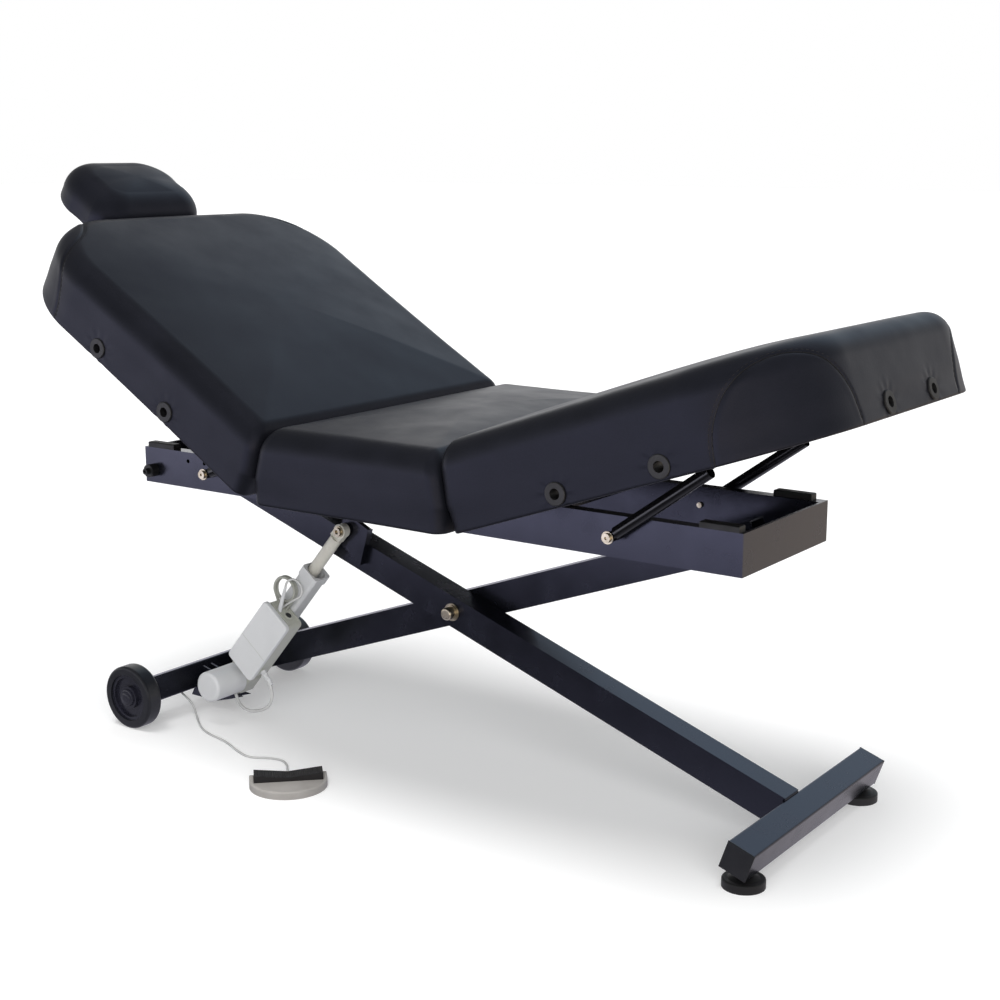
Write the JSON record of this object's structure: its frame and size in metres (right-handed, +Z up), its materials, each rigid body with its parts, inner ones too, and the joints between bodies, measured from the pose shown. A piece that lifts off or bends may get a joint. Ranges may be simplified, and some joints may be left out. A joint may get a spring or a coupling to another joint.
{
  "type": "tattoo table",
  "caption": "Padded tattoo table with a hinged backrest, hinged leg rest and sliding headrest, on a scissor lift raised by a linear actuator and a foot pedal.",
  "frame": {"origin": "on the floor, under the middle of the object's bounding box", "axes": "+X along the table from the head end to the foot end, +Y away from the side with the pedal, +Z up"},
  "size_m": [1.8532, 0.7714, 1.1187],
  "materials": {
    "upholstery": "satin",
    "plywood": "matte",
    "black_rubber": "matte",
    "black_plastic": "matte",
    "wheel_plastic": "gloss",
    "tyre_rubber": "satin",
    "black_powder_coat": "satin",
    "zinc_steel": "satin",
    "spring_cylinder": "gloss",
    "spring_rod": "polished",
    "grey_plastic": "matte",
    "white_plastic": "satin",
    "pedal_plastic": "matte",
    "treadle_rubber": "matte",
    "cord_jacket": "satin"
  },
  "bodies": {
    "feet": {"glide_pads": "black_rubber"},
    "long_arm_body": {"long_arm": "black_powder_coat", "foot_bar": "black_powder_coat", "foot_bar_caps": "black_plastic", "glide_studs": "zinc_steel", "long_arm_bolts": "zinc_steel", "pivot_washers": "zinc_steel", "lift_side_plates": "black_powder_coat"},
    "rollers": {"guide_rollers": "black_plastic"},
    "wheel_arm_body": {"wheel_arm": "black_powder_coat", "wheel_bar": "black_powder_coat", "wheel_bar_caps": "black_plastic", "wheel_axle": "zinc_steel", "lift_foot_plates": "black_powder_coat"},
    "near_wheel_body": {"near_wheel": "wheel_plastic", "near_tyre": "tyre_rubber"},
    "far_wheel_body": {"far_wheel": "wheel_plastic", "far_tyre": "tyre_rubber"},
    "top_frame": {"frame_rails": "black_powder_coat", "frame_cross_members": "black_powder_coat", "roller_guides": "black_powder_coat", "frame_bolts": "zinc_steel", "frame_washers": "zinc_steel", "bumpers": "black_rubber", "side_peg": "black_rubber", "seat_deck": "plywood", "seat_skirt": "upholstery", "seat_pad": "upholstery", "seat_hinge_leaves": "zinc_steel", "hinge_pins": "zinc_steel"},
    "leg_spring_tube_body": {"leg_spring_tubes": "spring_cylinder"},
    "back_spring_tube_body": {"back_spring_tubes": "spring_cylinder"},
    "actuator": {"actuator_gear_housing": "grey_plastic", "actuator_column": "white_plastic", "actuator_motor": "grey_plastic", "control_box_cover": "white_plastic", "control_box_body": "grey_plastic"},
    "actuator_rod_body": {"actuator_rod": "zinc_steel"},
    "backrest": {"back_skirt": "upholstery", "back_pad": "upholstery", "back_grommets": "black_rubber", "back_deck": "plywood", "back_fittings": "black_powder_coat"},
    "back_spring_rod_body": {"back_spring_rods": "spring_rod"},
    "headrest_slide_body": {"headrest_posts": "zinc_steel", "headrest_yoke": "black_powder_coat"},
    "headrest": {"headrest_board": "plywood", "headrest_pad": "upholstery"},
    "leg_rest": {"leg_skirt": "upholstery", "leg_pad": "upholstery", "leg_grommets": "black_rubber", "leg_deck": "plywood", "leg_fittings": "black_powder_coat"},
    "leg_spring_rod_body": {"leg_spring_rods": "spring_rod"},
    "pedal": {"pedal_base": "pedal_plastic", "pedal_cord_boot": "cord_jacket", "pedal_cord": "cord_jacket"},
    "treadle": {"pedal_treadle": "treadle_rubber"}
  },
  "joints": [
    {"name": "lift", "type": "hinge", "parent": "feet", "child": "long_arm_body", "pos_m": [0.772, 0, 0.017], "axis": [0, 1, 0], "range_deg": [-8, 6.5]},
    {"name": "scissor", "type": "hinge", "parent": "long_arm_body", "child": "wheel_arm_body", "pos_m": [0.06975, 0, 0.298], "axis": [0, 1, 0], "range_deg": [-13.6, 16.7]},
    {"name": "roller_spin", "type": "hinge", "parent": "long_arm_body", "child": "rollers", "pos_m": [-0.54658, -0.031, 0.51123], "axis": [0, 1, 0], "continuous": true},
    {"name": "near_wheel_spin", "type": "hinge", "parent": "wheel_arm_body", "child": "near_wheel_body", "pos_m": [-0.58, -0.266, 0.064], "axis": [0, 1, 0], "continuous": true},
    {"name": "far_wheel_spin", "type": "hinge", "parent": "wheel_arm_body", "child": "far_wheel_body", "pos_m": [-0.58, 0.194, 0.064], "axis": [0, 1, 0], "continuous": true},
    {"name": "frame_level", "type": "hinge", "parent": "wheel_arm_body", "child": "top_frame", "pos_m": [0.64, 0.025, 0.50337], "axis": [0, 1, 0], "range_deg": [-8.7, 7.1]},
    {"name": "pedal_level", "type": "hinge", "parent": "wheel_arm_body", "child": "pedal", "pos_m": [-0.58, -0.14, 0.064], "axis": [0, 1, 0], "range_deg": [-8.7, 7.1]},
    {"name": "treadle_rock", "type": "hinge", "parent": "pedal", "child": "treadle", "pos_m": [-0.1255, -0.306, 0.0108], "axis": [0.7009, -0.7133, 0], "range_deg": [-4, 4], "stiffness_Nm_per_rad": 0.6},
    {"name": "actuator_swing", "type": "hinge", "parent": "wheel_arm_body", "child": "actuator", "pos_m": [-0.482, -0.08, 0.05], "axis": [0, 1, 0], "range_deg": [-2, 2.5]},
    {"name": "rod_swing", "type": "hinge", "parent": "long_arm_body", "child": "actuator_rod_body", "pos_m": [-0.178, -0.08, 0.425], "axis": [0, 1, 0], "range_deg": [-15.6, 19.2]},
    {"name": "backrest_hinge", "type": "hinge", "parent": "top_frame", "child": "backrest", "pos_m": [-0.135, 0.28, 0.577], "axis": [0, 1, 0], "range_deg": [-31.4, 18.6]},
    {"name": "back_spring_swing", "type": "hinge", "parent": "top_frame", "child": "back_spring_tube_body", "pos_m": [-0.443, 0.172, 0.522], "axis": [0, -1, 0], "range_deg": [-12.7, 7.6]},
    {"name": "back_rod_swing", "type": "hinge", "parent": "backrest", "child": "back_spring_rod_body", "pos_m": [-0.23769, 0.172, 0.60454], "axis": [0, -1, 0], "range_deg": [-44.2, 26.3]},
    {"name": "leg_rest_hinge", "type": "hinge", "parent": "top_frame", "child": "leg_rest", "pos_m": [0.29, 0.28, 0.577], "axis": [0, -1, 0], "range_deg": [-19.1, 10.9]},
    {"name": "leg_spring_swing", "type": "hinge", "parent": "top_frame", "child": "leg_spring_tube_body", "pos_m": [0.486, 0.172, 0.522], "axis": [0, -1, 0], "range_deg": [-29.2, 16.8]},
    {"name": "leg_rod_swing", "type": "hinge", "parent": "leg_rest", "child": "leg_spring_rod_body", "pos_m": [0.71479, 0.172, 0.69129], "axis": [0, -1, 0], "range_deg": [-10.1, 5.8]},
    {"name": "headrest_slide", "type": "slide", "parent": "backrest", "child": "headrest_slide_body", "axis": [-0.8536, 0, 0.521], "range_m": [0, 0.08]},
    {"name": "headrest_tilt", "type": "hinge", "parent": "headrest_slide_body", "child": "headrest", "pos_m": [-0.82554, 0, 0.99207], "axis": [0, 1, 0], "range_deg": [-25, 8]}
  ],
  "couplings": [
    {"joint": "scissor", "follows": "lift", "ratio": -2.0808},
    {"joint": "frame_level", "follows": "lift", "ratio": 1.0808},
    {"joint": "pedal_level", "follows": "lift", "ratio": 1.0808},
    {"joint": "actuator_swing", "follows": "lift", "ratio": -0.2992},
    {"joint": "rod_swing", "follows": "lift", "ratio": -2.38},
    {"joint": "back_spring_swing", "follows": "backrest_hinge", "ratio": 0.4},
    {"joint": "back_rod_swing", "follows": "backrest_hinge", "ratio": 1.4},
    {"joint": "leg_spring_swing", "follows": "leg_rest_hinge", "ratio": 1.52},
    {"joint": "leg_rod_swing", "follows": "leg_rest_hinge", "ratio": 0.52}
  ]
}
